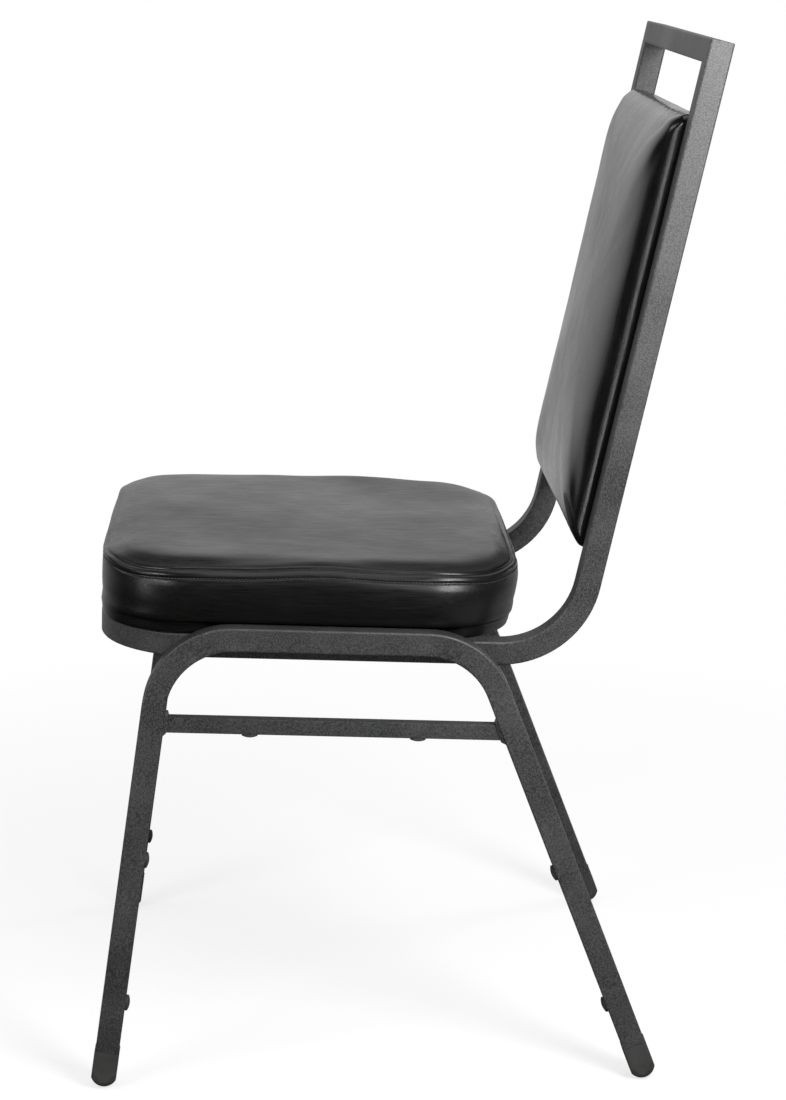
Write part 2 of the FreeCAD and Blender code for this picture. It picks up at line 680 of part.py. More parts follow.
# Glides and bumpers
def build_glide(label, side, end):
    """A plastic boot: round foot with a flat spot, square cuff, socket for the leg."""
    half, cavity = "glide_side / 2", "(tube_half + glide_fit)"
    outline = free_sketch(label + "_outline", ("0", "0", "-glide_dome_radius"))
    add_rounded_rectangle(outline, "outline", "-" + half, half, "-" + half, half,
                          "glide_corner", "glide_corner")
    block = extrude(label + "_block", outline, "glide_height + glide_dome_radius")
    dome = doc.addObject("Part::Sphere", label + "_dome")
    bind(dome, {"Radius": "glide_dome_radius"})
    shoulder = doc.addObject("Part::Cone", label + "_shoulder")
    bind(shoulder, {"Radius1": "glide_dome_radius", "Radius2": "glide_shoulder",
                    "Height": "glide_cone_height"})
    upper = cylinder(label + "_upper", "glide_shoulder", "glide_height",
                     ("0", "0", "glide_cone_height"))
    envelope = combine("Part::MultiFuse", label + "_envelope", [dome, shoulder, upper])
    solid = combine("Part::MultiCommon", label + "_solid", [block, envelope])
    mouth = free_sketch(label + "_mouth", ("0", "0", "glide_seat"))
    corner = "tube_corner"
    add_rounded_rectangle(mouth, "mouth", "-" + cavity, cavity, "-" + cavity, cavity, corner, corner)
    socket = extrude(label + "_socket", mouth, "glide_height")
    boot = cut(label + "_boot", solid, socket)
    foot = foot_frame(side, end)
    boot.Placement = foot
    reach = value("glide_side")
    ground = doc.addObject("Part::Box", label + "_ground")
    bind(ground, {"Length": "2 * glide_side", "Width": "2 * glide_side", "Height": "glide_side"})
    ground.Placement = Placement(Vector(foot.Base.x - reach, foot.Base.y - reach, -reach), Rotation())
    add_node(cut(label, boot, ground), Placement())


def bumper(name, spot, rotation):
    """A round-headed rubber bumper standing on a face, its axis along the rotation's +Z."""
    stem = cylinder(name + "_stem", "bumper_radius", "bumper_height", ("0", "0", "0"))
    dome = doc.addObject("Part::Sphere", name + "_dome")
    bind(dome, {"Radius": "bumper_dome_radius"})
    place_at(dome, ("0", "0", "bumper_height - bumper_dome_radius"))
    rounded = combine("Part::MultiCommon", name, [stem, dome])
    rounded.Placement = Placement(spot, rotation)
    return rounded


def build_leg_bumpers(label, end):
    """Two bumpers on the inward face of each leg of one pair."""
    way = 1 if end == "front" else -1
    groups = []
    for side_name, side in (("left", 1), ("right", -1)):
        facing = Rotation(Vector(1, 0, 0), -90 * way)
        pair = []
        for level in ("low", "high"):
            spot = Vector(0, way * value("tube_half"), value(end + "_bumper_" + level))
            pair.append(bumper("_".join((side_name, end, level, "bumper")), spot, facing))
        group = combine("Part::Compound", side_name + "_" + label, pair)
        group.Placement = foot_frame(side, end)
        groups.append(group)
    add_node(combine("Part::Compound", label, groups), Placement())


def build_stretcher_bumpers():
    groups = []
    for side_name, side in (("left", 1), ("right", -1)):
        pair = []
        for end in ("front", "rear"):
            spot = Vector(0, -value("stretcher_bumper_" + end),
                          -value("stretcher_drop + stretcher_height / 2"))
            facing = Rotation(Vector(1, 0, 0), 180)
            pair.append(bumper("_".join((side_name, "stretcher", end, "bumper")), spot, facing))
        group = combine("Part::Compound", side_name + "_stretcher_bumpers", pair)
        group.Placement = leg_frame(side)
        groups.append(group)
    add_node(combine("Part::Compound", "stretcher_bumpers", groups), Placement())


# Fasteners: each seat or back has four screws up through its tabs into four flanged nuts
SEAT_SPOTS = [(side, "-seat_tab_" + end) for side in (1, -1) for end in ("front", "rear")]
BACK_SPOTS = [(side, "back_tab_" + end) for side in (1, -1) for end in ("low", "high")]
FORWARD = Rotation(Vector(1, 0, 0), 90)


def screw_place(across, along, level, upright):
    """A point and turn for a fastener: up through the seat or forward through the back."""
    if upright:
        return (across, "-(" + level + ")", along), FORWARD
    return (across, along, level), Rotation()


def build_fasteners(stem, spots, tab_face, nut_face, upright, frame):
    """tab_face: outer face of the tabs; nut_face: face of the board under the foam."""
    screws, nuts, holes, tab_holes = [], [], [], []
    for index, (side, along) in enumerate(spots):
        name = stem + str(index + 1)
        across = "(" + str(side) + " * seat_screw_x)"

        def rod(kind, radius, height, level):
            spot, turn = screw_place(across, along, level, upright)
            return cylinder(name + "_" + kind, radius, height, spot, turn)

        head = rod("head", "screw_head_radius", "screw_head_height",
                   tab_face + " - screw_head_height")
        shank = rod("shank", "screw_radius", "screw_grip", tab_face)
        screws.append(combine("Part::MultiFuse", name + "_screw", [head, shank]))
        flange_level = nut_face + " - nut_flange_thickness"
        flange = rod("flange", "nut_flange_radius", "nut_flange_thickness", flange_level)
        barrel = rod("barrel", "nut_radius", "nut_barrel_length + nut_flange_thickness",
                     flange_level + " - nut_barrel_length")
        bore = rod("bore", "nut_bore_radius", "nut_barrel_length + 2 * cut_margin",
                   flange_level + " - nut_barrel_length - cut_margin")
        body = combine("Part::MultiFuse", name + "_nut_body", [flange, barrel])
        nuts.append(cut(name + "_nut", body, bore))
        hole = rod("board_hole", "nut_hole_radius", "2 * board_thickness + cut_margin",
                   nut_face + " - 2 * board_thickness")
        recess = rod("recess", "nut_flange_radius + flange_clearance", "board_thickness", flange_level)
        holes.extend([hole, recess])
        tab_holes.append(rod("tab_hole", "hole_radius", "tab_thickness + 2 * cut_margin",
                             tab_face + " - cut_margin"))
    add_node(combine("Part::Compound", stem + "_screws", screws), frame)
    add_node(combine("Part::Compound", stem + "_t_nuts", nuts), frame)
    hole_tool = combine("Part::MultiFuse", stem + "_board_holes", holes)
    return hole_tool, combine("Part::MultiFuse", stem + "_tab_holes", tab_holes)


def build_tabs(label, spots, low, high, upright, holes, frame):
    """Flat tabs welded to the inner faces of the tubes, drilled for the screws."""
    plates = []
    half = "tab_width / 2"
    for index, (side, along) in enumerate(spots):
        edge, tip = "inner_face", "inner_face - tab_reach"
        x_low, x_high = (tip, edge) if side > 0 else ("-(" + edge + ")", "-(" + tip + ")")
        if upright:
            corners = ((x_low, "-(" + high + ")", along + " - " + half),
                       (x_high, "-(" + low + ")", along + " + " + half))
        else:
            corners = ((x_low, along + " - " + half, low), (x_high, along + " + " + half, high))
        plates.append(box(label + str(index + 1), *corners))
    plain = combine("Part::Compound", label + "_plain", plates)
    drilled = cut(label, plain, holes)
    add_node(drilled, frame)


# Upholstery
def seat_ring(name, ring, inset, rise):
    """One section of the seat, drawn in by inset and lowered by rise."""
    stem = "seat_" + ring
    sketch = free_sketch(name, ("0", "0", "tube_half + " + stem + "_level - (" + rise + ")"))
    across = "(seat_half_width - " + stem + "_side_inset - (" + inset + "))"
    front = "-(seat_front - " + stem + "_front_inset - (" + inset + "))"
    rear = "-(seat_rear + " + stem + "_rear_inset + (" + inset + "))"
    taken = stem + "_side_inset * seat_corner_share + (" + inset + ")"
    front_radius = "max(seat_front_corner - (" + taken + "); seat_corner_least)"
    rear_radius = "max(seat_rear_corner - (" + taken + "); seat_corner_least)"
    add_rounded_rectangle(sketch, "ring", "-" + across, across, front, rear,
                          front_radius, rear_radius)
    return sketch


def seat_form(name, inset, rise, with_hem):
    """The cushion's form: crowned top, full sides, and the hem down round the board."""
    upper = [seat_ring(name + "_" + row[0], row[0], inset, rise) for row in SEAT_RINGS[1:]]
    body = loft(name + "_cushion", upper)
    if not with_hem:
        return body
    hem = seat_ring(name + "_hem", "hem", inset, rise)
    skirt = extrude(name + "_skirt", hem, "seat_lower_level - seat_hem_level")
    return combine("Part::MultiFuse", name + "_form", [body, skirt])


def seat_zone(name, low, high):
    """A box over the whole cushion between two heights."""
    across, front = "(seat_half_width + cut_margin)", "-seat_front - cut_margin"
    return box(name, ("-" + across, front, low), (across, "0", high))


def build_seat():
    frame = seat_frame()
    skin, both = "cover_thickness", "skin_and_gap"
    above = "tube_half + seat_crown_level + cut_margin"
    below = "tube_half - cut_margin"
    lip = "tube_half + seat_lip_level + cover_thickness"
    seam = "tube_half + seat_seam_level"
    holes, tab_holes = build_fasteners("seat", SEAT_SPOTS, "tube_half - tab_thickness",
                                       "board_top", False, frame)
    build_tabs("seat_mounting_tabs", SEAT_SPOTS, "tube_half - tab_thickness", "tube_half",
               False, tab_holes, frame)
    outer = seat_form("seat_outer", "0", "0", True)
    lowered = seat_form("seat_lowered", skin, skin, False)
    hem_prism = extrude("seat_hem_prism",
                        seat_ring("seat_hem_inside", "hem", skin, "cut_margin"), "board_thickness * 2")
    hem_space = combine("Part::MultiCommon", "seat_hem_space",
                        [hem_prism, seat_zone("seat_hem_zone", below, lip)])
    belly_space = combine("Part::MultiCommon", "seat_belly_space",
                          [lowered, seat_zone("seat_belly_zone", lip, above)])
    space = combine("Part::MultiFuse", "seat_cover_space", [hem_space, belly_space])
    cover = cut("seat_cover", outer, space)
    top_zone = seat_zone("seat_top_zone", seam + " + seam_gap / 2", above)
    band_zone = seat_zone("seat_band_zone", below, seam + " - seam_gap / 2")
    add_node(combine("Part::MultiCommon", "seat_top_panel", [cover, top_zone]), frame)
    add_node(combine("Part::MultiCommon", "seat_side_band", [cover, band_zone]), frame)
    foam_form = seat_form("seat_foam", both, both, False)
    foam_zone = seat_zone("seat_foam_zone", "board_top + soft_gap", above)
    add_node(combine("Part::MultiCommon", "seat_foam", [foam_form, foam_zone]), frame)
    board_ring = seat_ring("seat_board_outline", "hem", both, "0")
    board_ring.setExpression("Placement.Base.z", named("board_base"))
    board = extrude("seat_board_blank", board_ring, "board_thickness")
    add_node(cut("seat_board", board, holes), frame)
    cloth_ring = seat_ring("seat_cloth_outline", "hem", both, "0")
    cloth = extrude("seat_cloth_blank", cloth_ring, "dust_cover_thickness")
    add_node(cut("seat_dust_cover", cloth, holes), frame)


def pad_ring(name, ring, inset, rise):
    """One section of the back pad, in the plane of the back."""
    stem = "pad_" + ring
    sketch = free_sketch(name, ("0", "-(" + stem + "_level - (" + rise + "))", "0"), FORWARD)
    across = "(pad_half_width - " + stem + "_side_inset - (" + inset + "))"
    low = "pad_bottom + " + stem + "_bottom_inset + (" + inset + ")"
    high = "pad_top - " + stem + "_top_inset - (" + inset + ")"
    radius = ("min(pad_corner + " + stem + "_side_inset * pad_corner_share; "
              + across + " * pad_corner_most)")
    add_rounded_rectangle(sketch, "ring", "-" + across, across, low, high, radius, radius)
    return sketch


def pad_form(name, inset, rise):
    return loft(name, [pad_ring(name + "_" + row[0], row[0], inset, rise) for row in PAD_RINGS])


def back_slab(name, inset, rear, front):
    """A flat piece of the pad's outline, drawn in by inset, between two depths."""
    sketch = free_sketch(name + "_outline", ("0", "-(" + front + ")", "0"), FORWARD)
    across = "(pad_half_width - (" + inset + "))"
    radius = "pad_corner - (" + inset + ")"
    add_rounded_rectangle(sketch, "slab", "-" + across, across, "pad_bottom + " + inset,
                          "pad_top - (" + inset + ")", radius, radius)
    return extrude(name, sketch, front + " - (" + rear + ")", backwards=True)


def build_back():
    frame = back_frame()
    skin, both = "cover_thickness", "skin_and_gap"
    rear_plane = "(-tube_half)"
    holes, tab_holes = build_fasteners("back", BACK_SPOTS, rear_plane, "back_board_front",
                                       True, frame)
    build_tabs("back_mounting_tabs", BACK_SPOTS, rear_plane, rear_plane + " + tab_thickness",
               True, tab_holes, frame)
    outer = pad_form("pad_outer", "0", "0")
    inner = pad_form("pad_inner", skin, skin)
    tray = back_slab("pad_tray", "pad_edge_side_inset + cover_thickness", "pad_rear - cut_margin", "0")
    hollow = combine("Part::MultiFuse", "pad_hollow", [inner, tray])
    add_node(cut("back_front_cover", outer, hollow), frame)
    foam_form = pad_form("pad_foam", both, both)
    side = "(pad_half_width + cut_margin)"
    foam_zone = box("pad_foam_zone",
                    ("-" + side, "-pad_peak_level - cut_margin", "pad_bottom - cut_margin"),
                    (side, "-(back_board_front + soft_gap)", "pad_top + cut_margin"))
    add_node(combine("Part::MultiCommon", "back_foam", [foam_form, foam_zone]), frame)
    board = back_slab("back_board_blank", "pad_edge_side_inset + " + both,
                      "pad_rear", "back_board_front")
    add_node(cut("back_board", board, holes), frame)
    panel = back_slab("back_panel_blank", "panel_inset",
                      "pad_rear - soft_gap - rear_panel_thickness", "pad_rear - soft_gap")
    add_node(cut("back_rear_panel", panel, holes), frame)


build_side_tube("left_side_tube", 1)
build_side_tube("right_side_tube", -1)
build_top_rail()
build_front_rail()
build_joint_sleeves()
build_crossbar()
for side_word, side_sign in (("left", 1), ("right", -1)):
    build_leg_frame(side_word + "_leg_frame", side_sign)
    build_stretcher(side_word + "_stretcher", side_sign)
    for end_word in ("front", "rear"):
        build_glide(end_word + "_" + side_word + "_glide", side_sign, end_word)
build_stretcher_welds()
build_leg_bumpers("front_leg_bumpers", "front")
build_leg_bumpers("rear_leg_bumpers", "rear")
build_stretcher_bumpers()
build_seat()
build_back()
doc.recompute()

# Centre the chair front to rear on the origin.
span = FreeCAD.BoundBox()
for node in nodes:
    span.add(node.Shape.optimalBoundingBox(False, False))
for node in nodes:
    node.Placement = Placement(Vector(0, -span.Center.y, 0), Rotation()).multiply(node.Placement)
doc.recompute()

problems = []
for item in doc.Objects:
    if "Invalid" in item.State or "Error" in item.State:
        problems.append(item.Name + " " + " ".join(item.State))
for node in nodes:
    if node.Shape.isNull() or not node.Shape.isValid():
        problems.append(node.Label + " has no valid shape")
if problems:
    raise RuntimeError("; ".join(problems))

os.makedirs("parts", exist_ok=True)
for node in nodes:
    node.Shape.exportStep(os.path.join("parts", node.Label + ".step"))
    print(node.Label, len(node.Shape.Solids), round(node.Shape.Volume, 1))
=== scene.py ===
import math

import bpy
from mathutils import Matrix, Vector, noise
from mathutils.bvhtree import BVHTree


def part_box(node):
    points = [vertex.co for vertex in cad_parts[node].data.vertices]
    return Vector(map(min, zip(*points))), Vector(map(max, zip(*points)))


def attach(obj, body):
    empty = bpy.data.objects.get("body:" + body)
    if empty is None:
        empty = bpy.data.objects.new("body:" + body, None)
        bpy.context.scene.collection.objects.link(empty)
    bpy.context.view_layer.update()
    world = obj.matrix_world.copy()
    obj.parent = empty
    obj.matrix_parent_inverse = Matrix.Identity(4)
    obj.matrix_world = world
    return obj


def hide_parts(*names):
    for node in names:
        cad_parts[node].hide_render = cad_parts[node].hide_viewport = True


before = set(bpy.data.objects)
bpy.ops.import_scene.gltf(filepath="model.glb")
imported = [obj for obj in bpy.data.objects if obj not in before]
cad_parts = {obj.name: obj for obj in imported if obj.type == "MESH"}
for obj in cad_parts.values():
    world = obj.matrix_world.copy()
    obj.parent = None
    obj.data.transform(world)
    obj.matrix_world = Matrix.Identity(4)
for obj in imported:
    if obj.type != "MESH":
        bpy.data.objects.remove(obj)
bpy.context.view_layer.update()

MM = 0.001

# Driving sizes of the chair, in metres and radians, as its construction has them.
SEAT_TILT = math.radians(2.0)
BACK_LEAN = math.radians(12.28)
CROSSBAR_RUN = 95 * MM
TUBE_HALF = 11.1 * MM
FRAME_HALF = 190 * MM
JOINT_RUN = 207.9 * MM
SEAT_HALF_WIDTH = 213 * MM
SEAT_FRONT = 443.6 * MM
SEAT_REAR = 44 * MM
SEAT_FRONT_CORNER = 87 * MM
SEAT_REAR_CORNER = 90 * MM
SEAT_SEAM_HEIGHT = 62.3 * MM
TOPSTITCH_HEIGHT = 56.0 * MM
PAD_HALF_WIDTH = 177.9 * MM
PAD_BOTTOM = 97 * MM
PAD_TOP = 506.5 * MM

# Camera at the photograph's viewpoint, in the chair's own frame.
CAMERA_SPOT = Vector((2.4672, -0.10809, 1.0804))
CAMERA_RIGHT = Vector((0.0455, 0.9990, 0.0045))
CAMERA_FORWARD = Vector((-0.9706, 0.0452, -0.2362))
PHOTO_WIDTH, PHOTO_HEIGHT = 786.0, 1100.0
FOCAL_PIXELS = 2544.0
CENTRE_X, CENTRE_Y = 397.8, 536.5
SENSOR_HEIGHT = 36.0

# Studio. Strengths of the white surroundings: as a light, and in reflections where they are dark,
# in the far floor and in the floor behind the chair.
WORLD_LIGHT = 0.24
STUDIO_DARK = 0.01
FLOOR_GLOSS = 0.62
REAR_GLOSS = 0.5
# Reflections turn white between these two values of the direction's X, away from the camera.
WHITE_FROM, WHITE_FULL = -0.58, -0.82

# Lamps: name, place, target, width and height in metres, power in watts.
LAMPS = [
    ("overhead", (0.0, 0.0, 2.7), (0, 0, 0.4), (1.6, 1.6), 18),
    ("left_softbox", (1.15, -1.95, 0.9), (0, 0, 0.6), (0.22, 1.5), 9),
    ("right_softbox", (1.9, 1.1, 1.7), (0, 0, 0.5), (0.6, 0.5), 9),
    ("band_softbox", (1.6, -1.7, 1.7), (0, -0.1, 0.45), (0.7, 0.5), 16),
    ("rear_softbox", (-1.1, 2.1, 1.5), (0, 0.1, 0.6), (0.7, 1.6), 14),
    ("front_softbox", (-0.4, -2.3, 2.1), (0, 0, 0.6), (1.2, 0.5), 9),
    ("high_side", (0.85, 0.5, 1.1), (0.2, 0.25, 0.8), (0.4, 0.6), 17),
]


def build_camera():
    data = bpy.data.cameras.new("camera")
    data.sensor_fit = "VERTICAL"
    data.sensor_height = SENSOR_HEIGHT
    data.lens = FOCAL_PIXELS / PHOTO_HEIGHT * data.sensor_height
    data.shift_x = (PHOTO_WIDTH / 2 - CENTRE_X) / PHOTO_HEIGHT
    data.shift_y = (CENTRE_Y - PHOTO_HEIGHT / 2) / PHOTO_HEIGHT
    data.clip_end = 50.0
    camera = bpy.data.objects.new("camera", data)
    forward = CAMERA_FORWARD.normalized()
    right = (CAMERA_RIGHT - forward * CAMERA_RIGHT.dot(forward)).normalized()
    up = right.cross(forward)
    turn = Matrix((right, up, -forward)).transposed().to_4x4()
    camera.matrix_world = Matrix.Translation(CAMERA_SPOT) @ turn
    bpy.context.collection.objects.link(camera)
    bpy.context.scene.camera = camera


# Lights and backdrop
def area_light(name, spot, target, size, power):
    data = bpy.data.lights.new(name, "AREA")
    data.shape = "RECTANGLE"
    data.size, data.size_y = size
    data.energy = power
    light = bpy.data.objects.new(name, data)
    light.location = spot
    direction = Vector(target) - Vector(spot)
    light.rotation_euler = direction.to_track_quat("-Z", "Y").to_euler()
    bpy.context.collection.objects.link(light)


# Small helpers that add one shader node
def map_range(nodes, links, source, low, high, to_low, to_high):
    node = nodes.new("ShaderNodeMapRange")
    node.inputs["From Min"].default_value = low
    node.inputs["From Max"].default_value = high
    node.inputs["To Min"].default_value = to_low
    node.inputs["To Max"].default_value = to_high
    links.new(source, node.inputs["Value"])
    return node.outputs["Result"]


def math_node(nodes, links, operation, a, b):
    node = nodes.new("ShaderNodeMath")
    node.operation = operation
    for socket, source in zip(node.inputs, (a, b)):
        if isinstance(source, float):
            socket.default_value = source
        else:
            links.new(source, socket)
    return node.outputs[0]


def white_side(nodes, links):
    """1 in directions to the chair's far side, 0 on the near side, and less towards the floor."""
    place = nodes.new("ShaderNodeTexCoord")
    split = nodes.new("ShaderNodeSeparateXYZ")
    links.new(place.outputs["Generated"], split.inputs[0])
    side = nodes.new("ShaderNodeMapRange")
    side.interpolation_type = "SMOOTHSTEP"
    side.inputs["From Min"].default_value = WHITE_FROM
    side.inputs["From Max"].default_value = WHITE_FULL
    links.new(split.outputs["X"], side.inputs["Value"])
    raised = map_range(nodes, links, split.outputs["Z"], -0.02, 0.24, FLOOR_GLOSS, 1.0)
    return math_node(nodes, links, "MULTIPLY", side.outputs["Result"], raised)


def build_world():
    """A studio that is white to the camera and in far reflections, and dimmer as a light."""
    world = bpy.data.worlds.new("studio")
    bpy.context.scene.world = world
    world.use_nodes = True
    nodes, links = world.node_tree.nodes, world.node_tree.links
    background = nodes["Background"]
    background.inputs["Color"].default_value = (1, 1, 1, 1)
    path = nodes.new("ShaderNodeLightPath")
    seen = math_node(nodes, links, "MAXIMUM", path.outputs["Is Camera Ray"],
                     path.outputs["Is Transmission Ray"])
    around = math_node(nodes, links, "MAXIMUM", white_side(nodes, links), STUDIO_DARK)
    reflected = math_node(nodes, links, "MULTIPLY", path.outputs["Is Glossy Ray"], around)
    spread = math_node(nodes, links, "MULTIPLY", path.outputs["Is Diffuse Ray"], WORLD_LIGHT)
    total = math_node(nodes, links, "MAXIMUM", seen, reflected)
    links.new(math_node(nodes, links, "MAXIMUM", total, spread), background.inputs["Strength"])
    bpy.context.scene.view_settings.view_transform = "Standard"


build_camera()
build_world()
for lamp in LAMPS:
    area_light(*lamp)


# Materials
def new_material(name, colour, rough):
    mat = bpy.data.materials.new(name)
    mat.use_nodes = True
    shader = mat.node_tree.nodes["Principled BSDF"]
    shader.inputs["Base Color"].default_value = (*colour, 1)
    shader.inputs["Roughness"].default_value = rough
    return mat, mat.node_tree.nodes, mat.node_tree.links, shader


def object_place(nodes, links, scale=(1, 1, 1)):
    place = nodes.new("ShaderNodeTexCoord")
    mapping = nodes.new("ShaderNodeMapping")
    mapping.inputs["Scale"].default_value = scale
    links.new(place.outputs["Object"], mapping.inputs["Vector"])
    return mapping.outputs["Vector"]


def noise_node(nodes, links, vector, scale, detail=2.0, rough=0.5):
    node = nodes.new("ShaderNodeTexNoise")
    node.inputs["Scale"].default_value = scale
    node.inputs["Detail"].default_value = detail
    node.inputs["Roughness"].default_value = rough
    links.new(vector, node.inputs["Vector"])
    return node.outputs["Fac"]


def colour_between(nodes, links, source, dark, light):
    node = nodes.new("ShaderNodeMix")
    node.data_type = "RGBA"
    node.inputs["A"].default_value = (*dark, 1)
    node.inputs["B"].default_value = (*light, 1)
    links.new(source, node.inputs["Factor"])
    return node.outputs["Result"]


def add_bump(nodes, links, shader, height, strength, distance, below=None):
    node = nodes.new("ShaderNodeBump")
    node.inputs["Strength"].default_value = strength
    node.inputs["Distance"].default_value = distance
    links.new(height, node.inputs["Height"])
    if below is not None:
        links.new(below, node.inputs["Normal"])
    links.new(node.outputs["Normal"], shader.inputs["Normal"])
    return node.outputs["Normal"]


def powder_coat():
    """Charcoal textured powder coat: fine orange peel, faint speckle, edges softly rounded in the
    shading.
    """
    mat, nodes, links, shader = new_material("powder_coat", (0.055, 0.053, 0.051), 0.5)
    place = object_place(nodes, links)
    peel = noise_node(nodes, links, place, 1100, 3.0, 0.6)
    patches = noise_node(nodes, links, place, 14, 3.0)
    speck = noise_node(nodes, links, place, 740, 2.0)
    shade = map_range(nodes, links, patches, 0.3, 0.7, 0.25, 0.6)
    speckle = map_range(nodes, links, speck, 0.38, 0.62, -0.34, 0.40)
    blend = math_node(nodes, links, "ADD", shade, speckle)
    links.new(colour_between(nodes, links, blend, (0.010, 0.010, 0.011), (0.056, 0.056, 0.057)),
              shader.inputs["Base Color"])
    links.new(map_range(nodes, links, patches, 0.3, 0.7, 0.44, 0.56), shader.inputs["Roughness"])
    soft_edge = nodes.new("ShaderNodeBevel")
    soft_edge.samples = 4
    soft_edge.inputs["Radius"].default_value = 0.8 * MM
    add_bump(nodes, links, shader, peel, 0.5, 0.12 * MM, soft_edge.outputs["Normal"])
    return mat


def vinyl(name, streak_scale, low_rough, high_rough):
    """Black upholstery vinyl: fine drawn grain along one way, small pores, soft sheen."""
    mat, nodes, links, shader = new_material(name, (0.016, 0.015, 0.014), 0.4)
    streaks = noise_node(nodes, links, object_place(nodes, links, streak_scale), 1.0, 3.0, 0.6)
    place = object_place(nodes, links)
    pores = nodes.new("ShaderNodeTexVoronoi")
    pores.inputs["Scale"].default_value = 900
    links.new(place, pores.inputs["Vector"])
    patches = noise_node(nodes, links, place, 9, 3.0)
    links.new(colour_between(nodes, links, streaks, (0.0018, 0.0018, 0.0018),
                             (0.0062, 0.0057, 0.0055)), shader.inputs["Base Color"])
    drawn = map_range(nodes, links, streaks, 0.3, 0.7, low_rough, high_rough)
    rubbed = map_range(nodes, links, patches, 0.3, 0.7, -0.06, 0.06)
    links.new(math_node(nodes, links, "ADD", drawn, rubbed), shader.inputs["Roughness"])
    shader.inputs["Specular IOR Level"].default_value = 0.3
    grain = add_bump(nodes, links, shader, pores.outputs["Distance"], 0.25, 0.08 * MM)
    add_bump(nodes, links, shader, streaks, 0.35, 0.08 * MM, grain)
    return mat


def moulded(name, colour, rough, scale, depth):
    """Moulded plastic or rubber with a matte skin."""
    mat, nodes, links, shader = new_material(name, colour, rough)
    place = object_place(nodes, links)
    skin = noise_node(nodes, links, place, scale, 3.0)
    patches = noise_node(nodes, links, place, 60, 2.0)
    darker = tuple(c * 0.75 for c in colour)
    lighter = tuple(c * 1.3 for c in colour)
    links.new(colour_between(nodes, links, patches, darker, lighter), shader.inputs["Base Color"])
    links.new(map_range(nodes, links, patches, 0.3, 0.7, rough - 0.06, rough + 0.06),
              shader.inputs["Roughness"])
    add_bump(nodes, links, shader, skin, 0.3, depth)
    return mat


def zinc():
    """Zinc-plated steel, with the plating's faint bloom."""
    mat, nodes, links, shader = new_material("zinc_plate", (0.55, 0.55, 0.56), 0.3)
    shader.inputs["Metallic"].default_value = 1.0
    place = object_place(nodes, links)
    bloom = noise_node(nodes, links, place, 220, 4.0)
    links.new(colour_between(nodes, links, bloom, (0.46, 0.46, 0.48), (0.62, 0.62, 0.60)),
              shader.inputs["Base Color"])
    links.new(map_range(nodes, links, bloom, 0.3, 0.7, 0.24, 0.42), shader.inputs["Roughness"])
    add_bump(nodes, links, shader, bloom, 0.15, 0.05 * MM)
    return mat


def plywood():
    """Plywood with its grain along Y."""
    mat, nodes, links, shader = new_material("plywood", (0.52, 0.38, 0.24), 0.7)
    figure = noise_node(nodes, links, object_place(nodes, links, (120, 9, 120)), 1.0, 4.0, 0.65)
    links.new(colour_between(nodes, links, figure, (0.36, 0.24, 0.14), (0.62, 0.47, 0.31)),
              shader.inputs["Base Color"])
    add_bump(nodes, links, shader, figure, 0.3, 0.15 * MM)
    return mat


def foam():
    """Open-cell cushion foam."""
    mat, nodes, links, shader = new_material("polyurethane_foam", (0.75, 0.68, 0.45), 0.95)
    cells = noise_node(nodes, links, object_place(nodes, links), 700, 4.0, 0.7)
    links.new(colour_between(nodes, links, cells, (0.62, 0.54, 0.34), (0.82, 0.77, 0.56)),
              shader.inputs["Base Color"])
    add_bump(nodes, links, shader, cells, 0.6, 0.5 * MM)
    return mat


def dust_cloth():
    """Black bonded cloth: crossed fibres and a little fuzz."""
    mat, nodes, links, shader = new_material("bonded_cloth", (0.02, 0.02, 0.02), 0.95)
    along = noise_node(nodes, links, object_place(nodes, links, (900, 160, 900)), 1.0, 2.0)
    across = noise_node(nodes, links, object_place(nodes, links, (160, 900, 160)), 1.0, 2.0)
    weave = math_node(nodes, links, "MULTIPLY", along, across)
    links.new(colour_between(nodes, links, weave, (0.008, 0.008, 0.008), (0.050, 0.050, 0.052)),
              shader.inputs["Base Color"])
    shader.inputs["Sheen Weight"].default_value = 0.3
    add_bump(nodes, links, shader, weave, 0.5, 0.2 * MM)
    return mat


def thread():
    """Black twisted sewing thread."""
    mat, nodes, links, shader = new_material("thread", (0.02, 0.02, 0.02), 0.6)
    twist = noise_node(nodes, links, object_place(nodes, links), 2500, 1.0)
    links.new(colour_between(nodes, links, twist, (0.008, 0.008, 0.008), (0.035, 0.034, 0.033)),
              shader.inputs["Base Color"])
    add_bump(nodes, links, shader, twist, 0.4, 0.1 * MM)
    return mat


